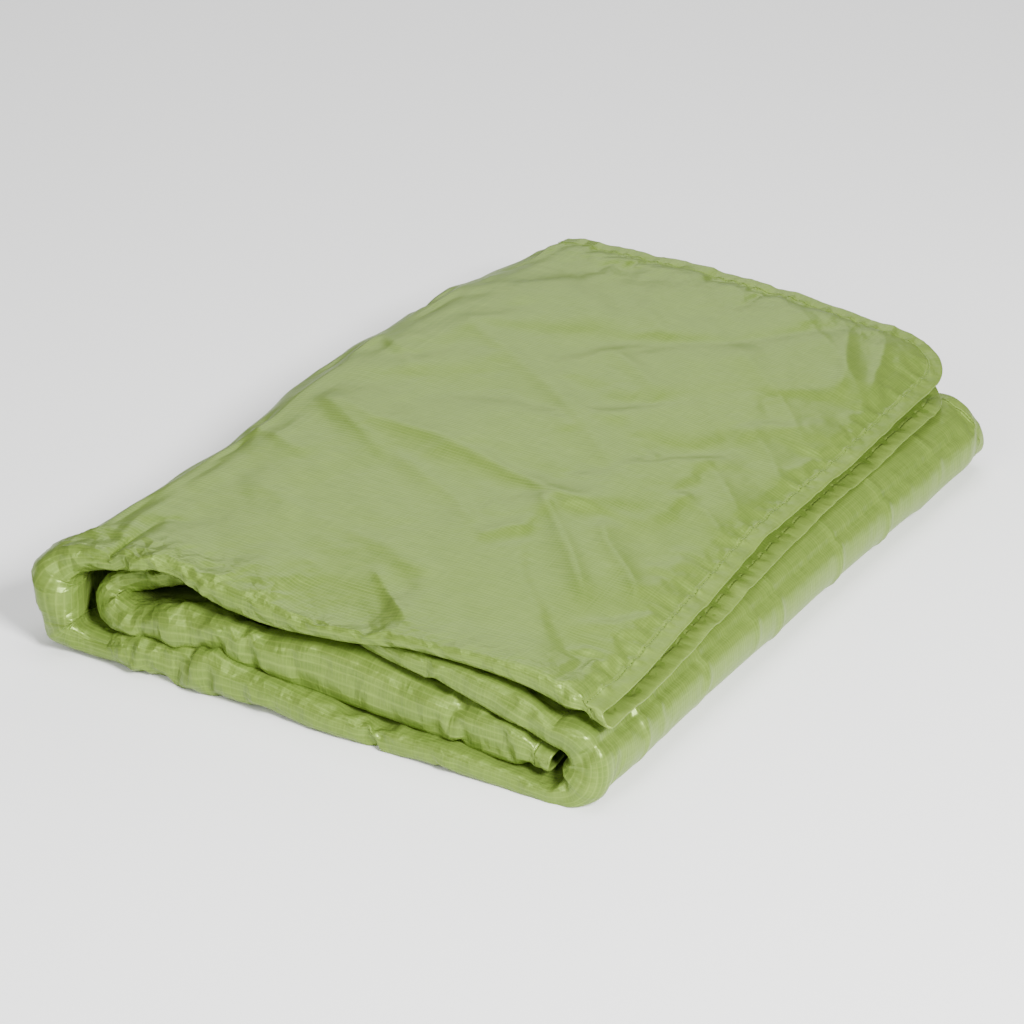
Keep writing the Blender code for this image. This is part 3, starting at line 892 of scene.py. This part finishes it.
def roll_sheet(layer, offset_of, columns, steps, thickness, least_inset, material, slot):
    """One layer of the quilt, as a piece for each section of the roll."""
    rows = [np.linspace(s, s + 1, n, endpoint=False) for s, n in enumerate(steps)]
    along = np.concatenate(rows + [[7.0]])
    shape = (len(along), len(columns[0]))
    along = np.broadcast_to(along[:, None], shape).copy()
    across, turn = (np.broadcast_to(c, shape).copy() for c in columns)
    points = draped(along, across, turn, offset_of)[0]
    normals = grid_normals(points)
    flat = np.stack(flat_place(along, across, turn, NOSE_ARC), axis=-1)
    depth = thickness(points, along, across, turn) if callable(thickness) else thickness
    first = 0
    for section, name in enumerate(SECTIONS):
        rows = slice(first, first + steps[section] + 1)
        first += steps[section]
        keep = hem_inset(along[rows], across[rows]) > least_inset
        if layer == "insulation" and section in (INNER_FOLD, LEFT_FOLD):
            keep &= across[rows] * PLY_DEPTH > PINCH_DEPTH
        if layer == "insulation" and section == LEFT_FOLD:
            keep &= (points[rows][..., 2] < BEND_START) | (points[rows][..., 2] > BEND_END)
        deep = depth[rows] if isinstance(depth, np.ndarray) else depth
        piece = sheet_mesh(f"{name}_{layer}_cloth", points[rows], normals[rows], flat[rows], keep, deep,
                           material)
        place_piece(piece, name, slot, f"{name}_{layer}")


face_ripstop = ripstop("face_ripstop_satin", FACE_DARK, FACE_LIGHT, 0.37)
roll_sheet("face", face_offset, across_columns(1 / 180, 26, 1 / 60), [100, 16, 115, 46, 135, 48, 150],
           CLOTH, 0.002, face_ripstop, "face_ripstop")


# ---------------------------------------------------------------- lining fabric
# The back of the quilt: taffeta of the same green, a little darker and duller, with the face's
# weave. It lies between the two plies of the folded quilt, and shows at the flap's open edge.

LINING_DARK = (0.086, 0.147, 0.020, 1)
LINING_LIGHT = (0.156, 0.238, 0.038, 1)
lining_taffeta = ripstop("lining_taffeta_satin", LINING_DARK, LINING_LIGHT, 0.42)
roll_sheet("lining", lining_offset, across_columns(1 / 60, 10, 1 / 90), [40, 10, 40, 16, 40, 20, 72],
           CLOTH, 0.002, lining_taffeta, "lining_taffeta")


# ---------------------------------------------------------------- insulation
# Thin white polyester batting between the face and the lining. It stops short of the hem, so that
# the edge sews down flat. It is left out of the loops' pinched fronts and of the left fold's bend,
# where it would come through the cloth.


def filling_offset(half, inset):
    return 0.42 * face_offset(half, inset) + 0.58 * lining_offset(half, inset)


def filling_depth(points, along, across, turn):
    half = middle_line(along, points[..., 1], turn)[2]
    inset = hem_inset(along, across)
    gap = face_offset(half, inset) - lining_offset(half, inset)
    return np.maximum(gap - 0.0060, 0.25 * gap)


def batting(name):
    finish = Finish(name, 0.95, 0.3)
    cloth = finish.flat_cloth()
    fibres = finish.noise(cloth, 420.0, 3.0, (0.3, 1.0, 1.0)) * 0.6 + finish.noise(cloth, 60.0, 3.0) * 0.4
    finish.give("Base Color", finish.colour(fibres, (0.62, 0.62, 0.58, 1), (0.90, 0.90, 0.87, 1)))
    finish.bump(fibres, 0.002, 0.8)
    return finish.material


roll_sheet("insulation", filling_offset, across_columns(1 / 100, 12, 1 / 90), [60, 12, 60, 18, 60, 24, 72],
           filling_depth, 0.024, batting("polyester_batting"), "batting")


# ---------------------------------------------------------------- hem
# A strip of the face fabric folded round the flat edge of both fabrics and sewn through. It runs
# along the back of each ply, round the corners of the end panels and on round the front fold.

HEM_LEG = 0.00105  # from the ply's middle to each leg of the hem
HEM_DARK = (0.108, 0.174, 0.027, 1)
HEM_LIGHT = (0.192, 0.277, 0.052, 1)
STITCH_INSET = 0.0138
STITCH_PITCH = 0.0033
HEM_EDGE = 0.0014  # how far in from the quilt's edge each leg starts to turn
HEM_STEP = 0.0032
INNER_HEM_RUN = 4.0  # keeps the inner ply's cloth pattern apart from the outer ply's


def hem_middle(half):
    full = np.minimum(PLY_FULL, half - PLY_GAP)
    return half - SETTLE * (full - PLY_AT_HEM) - PLY_AT_HEM / 2


def corner_path(inset, section, side, length_step):
    """along, across and turn down one ply of an end panel, at one distance in from its hem."""
    length = SECTION_LENGTH[section]
    radius = CORNER_RADIUS - inset
    back_run = np.linspace(length, CORNER_RADIUS, int((length - CORNER_RADIUS) / length_step) + 1)
    angle = np.linspace(pi / 2, 0, 26)[1:]
    side_run = np.linspace(CORNER_RADIUS, PLY_DEPTH, int((PLY_DEPTH - CORNER_RADIUS) / length_step) + 1)[1:]
    to_side = np.concatenate([back_run, CORNER_RADIUS - radius * np.cos(angle), 0 * side_run + inset])
    to_back = np.concatenate([0 * back_run + inset, CORNER_RADIUS - radius * np.sin(angle), side_run])
    along = 7 - to_side / length if section == TOP_FLAP else to_side / length
    return along, 1 - to_back / PLY_DEPTH, np.full_like(along, side)


def end_hem_path(inset, section, length_step):
    """The whole hem of an end panel: outer ply, round the front fold, inner ply."""
    outer = corner_path(inset, section, 0.0, length_step)
    inner = [values[::-1] for values in corner_path(inset, section, pi, length_step)]
    nose = np.linspace(0, pi, 15)[1:-1]
    from_end = inset / SECTION_LENGTH[section]
    edge = 7 - from_end if section == TOP_FLAP else from_end
    middle = (np.full_like(nose, edge), 0 * nose, nose)
    return [np.concatenate(parts) for parts in zip(outer, middle, inner)]


def strip_path(inset, section, side, length_step):
    """The hem along the back of one ply of a section."""
    count = max(int(SECTION_LENGTH[section] / length_step), 12)
    along = np.linspace(section, section + 1, count + 1)
    return along, np.full_like(along, 1 - inset / PLY_DEPTH), np.full_like(along, side)


def hem_runs(section, length_step):
    """The name's ending and the path of each hem: one all round an end panel, else one a ply."""
    if section in (INNER_PANEL, TOP_FLAP):
        yield "", lambda inset: end_hem_path(inset, section, length_step)
    else:
        for ply, side in (("_outer", 0.0), ("_inner", pi)):
            yield ply, lambda inset, side=side: strip_path(inset, section, side, length_step)


def hem_profile():
    """(inset, lift) from the outer leg's inner edge, round the quilt's edge, to the lining leg's."""
    leg = [(inset, HEM_LEG) for inset in np.linspace(HEM_WIDTH, HEM_EDGE, 7)]
    edge = [(HEM_EDGE - 0.0012 * sin(a), HEM_LEG * cos(a)) for a in np.linspace(0, pi, 7)[1:-1]]
    tucked = [(HEM_WIDTH - 0.0002, HEM_LEG - 0.0005)]
    return tucked + leg + edge + [(inset, -lift) for inset, lift in reversed(leg)]


def hem_piece(name, path_at):
    rows = []
    for inset, lift in hem_profile():
        along, across, turn = path_at(inset)
        place = draped(along, across, turn, lambda half, _: hem_middle(half) + lift)[0]
        run = hem_run(along, across) + np.where(turn > pi / 2, INNER_HEM_RUN, 0.0)
        rows.append((place, np.stack([run, inset + 0 * along], axis=-1)))
    points, flat = (np.stack(part, axis=1) for part in zip(*rows))
    keep = np.ones(points.shape[:2], dtype=bool)
    piece = sheet_mesh(name, points, grid_normals(points), flat, keep, CLOTH, hem_ripstop)
    return piece


def hem_finish(name):
    """The face ripstop, with a dented needle hole at each end of every stitch, painted near-black as painted
    shade.
    """
    finish = Finish(name, 0.38, metallic=SATIN)
    cloth = finish.flat_cloth()
    run, inset = finish.split(cloth, 0), finish.split(cloth, 1)
    grid = run.line(RIPSTOP_PITCH, 0.0003).maths("MAXIMUM", inset.line(RIPSTOP_PITCH, 0.0003))
    mottle = finish.noise(cloth, 40.0, 4.0)
    dragged = finish.noise(cloth, 300.0, 2.0, (1.0, 0.25, 1.0))
    hole_row = 1 - ((inset - STITCH_INSET).maths("ABSOLUTE") / 0.00055).maths("MINIMUM", 1.0)
    needle_holes_and_shade = (run.line(STITCH_PITCH, 0.0006) * hole_row * 2.2).maths("MINIMUM", 1.0)
    shade = (mottle * 0.6 + dragged * 0.4 - 0.5) * 1.9 + 0.5 + grid * 0.16
    cloth_colour = finish.colour(shade, HEM_DARK, HEM_LIGHT)
    # Painted shade: each needle hole is coloured near-black for the shade inside it.
    finish.give("Base Color", finish.colour(needle_holes_and_shade, cloth_colour, (0.03, 0.055, 0.01, 1)))
    sunk = 1 - ((inset - STITCH_INSET).maths("ABSOLUTE") / 0.0013).maths("MINIMUM", 1.0)
    finish.bump(dragged * 0.6 + mottle * 0.6 - sunk * 0.7 - needle_holes_and_shade * 0.5 + grid * 0.08, 0.0010, 0.7)
    return finish.material


hem_ripstop = hem_finish("hem_ripstop_satin")
for section, name in enumerate(SECTIONS):
    for ply, path_at in hem_runs(section, HEM_STEP):
        piece = hem_piece(f"{name}_hem{ply}_binding", path_at)
        place_piece(piece, name, "hem_binding", f"{name}_hem{ply}")


# ---------------------------------------------------------------- stitching
# One row of lockstitch through the hem, in matching polyester thread. Each stitch is a short
# raised loop between two needle holes.

THREAD_RADIUS = 0.00024
SEAM_STEP = 0.0016


def stitch_tree():
    """Geometry Nodes: a short bowed thread at every stitch along a line."""
    tree = bpy.data.node_groups.new("lockstitch_row", "GeometryNodeTree")
    new_socket = tree.interface.new_socket
    new_socket("Seam line", in_out="INPUT", socket_type="NodeSocketGeometry")
    for label, value in (("Stitch pitch", STITCH_PITCH), ("Thread radius", THREAD_RADIUS)):
        new_socket(label, in_out="INPUT", socket_type="NodeSocketFloat").default_value = value
    new_socket("Thread", in_out="INPUT", socket_type="NodeSocketMaterial")
    new_socket("Stitches", in_out="OUTPUT", socket_type="NodeSocketGeometry")
    nodes = {role: tree.nodes.new(kind) for role, kind in {
        "given": "NodeGroupInput",
        "line": "GeometryNodeMeshToCurve",
        "spaced": "GeometryNodeResampleCurve",
        "stitch": "GeometryNodeMeshUVSphere",
        "tangent": "GeometryNodeInputTangent",
        "turned": "FunctionNodeAlignRotationToVector",
        "ratio": "ShaderNodeMath",
        "half_length": "ShaderNodeMath",
        "size": "ShaderNodeCombineXYZ",
        "placed": "GeometryNodeInstanceOnPoints",
        "made": "GeometryNodeRealizeInstances",
        "coloured": "GeometryNodeSetMaterial",
        "result": "NodeGroupOutput",
    }.items()}
    nodes["spaced"].mode = "LENGTH"
    nodes["stitch"].inputs["Segments"].default_value = 6
    nodes["stitch"].inputs["Rings"].default_value = 6
    nodes["turned"].axis = "Z"
    nodes["ratio"].operation = "DIVIDE"
    nodes["half_length"].operation = "MULTIPLY"
    nodes["half_length"].inputs[1].default_value = 0.42
    nodes["size"].inputs[0].default_value = nodes["size"].inputs[1].default_value = 1.0
    for source, output, target, given in [
        ("given", "Seam line", "line", "Mesh"),
        ("line", "Curve", "spaced", "Curve"),
        ("given", "Stitch pitch", "spaced", "Length"),
        ("given", "Thread radius", "stitch", "Radius"),
        ("tangent", "Tangent", "turned", "Vector"),
        ("given", "Stitch pitch", "ratio", 0),
        ("given", "Thread radius", "ratio", 1),
        ("ratio", 0, "half_length", 0),
        ("half_length", 0, "size", 2),
        ("spaced", "Curve", "placed", "Points"),
        ("stitch", "Mesh", "placed", "Instance"),
        ("turned", "Rotation", "placed", "Rotation"),
        ("size", "Vector", "placed", "Scale"),
        ("placed", "Instances", "made", "Geometry"),
        ("made", "Geometry", "coloured", "Geometry"),
        ("given", "Thread", "coloured", "Material"),
        ("coloured", "Geometry", "result", "Stitches"),
    ]:
        tree.links.new(nodes[source].outputs[output], nodes[target].inputs[given])
    return tree


def thread_finish():
    finish = Finish("polyester_thread", 0.5, 0.2)
    place = finish.node("ShaderNodeTexCoord", {}, [], 3)
    twist = finish.noise(place, 2600.0, 2.0)
    finish.give("Base Color", finish.colour(twist, (0.10, 0.19, 0.015, 1), (0.26, 0.38, 0.06, 1)))
    finish.bump(twist, 0.0002)
    return finish.material


def stitch_row(name, path):
    """Stitches along a seam line, as a plain mesh."""
    place = draped(*path, lambda half, _: hem_middle(half) + HEM_LEG + CLOTH)[0]
    line = bpy.data.meshes.new(name + "_line")
    line.from_pydata(place.tolist(), [(i, i + 1) for i in range(len(place) - 1)], [])
    carrier = put_in_scene(name + "_line", line)
    rows = carrier.modifiers.new("stitches", "NODES")
    rows.node_group = lockstitch
    sockets = lockstitch.interface.items_tree
    inputs = {item.name: item.identifier for item in sockets if item.in_out == "INPUT"}
    rows[inputs["Stitch pitch"]] = STITCH_PITCH
    rows[inputs["Thread radius"]] = THREAD_RADIUS
    rows[inputs["Thread"]] = thread
    evaluated = carrier.evaluated_get(bpy.context.evaluated_depsgraph_get())
    mesh = bpy.data.meshes.new_from_object(evaluated)
    bpy.data.objects.remove(carrier)
    mesh.shade_smooth()
    return put_in_scene(name, mesh)


lockstitch = stitch_tree()
thread = thread_finish()
for section, name in enumerate(SECTIONS):
    for ply, path_at in hem_runs(section, SEAM_STEP):
        piece = stitch_row(f"{name}{ply}_stitches", path_at(STITCH_INSET))
        place_piece(piece, name, "thread", f"{name}_thread{ply}")
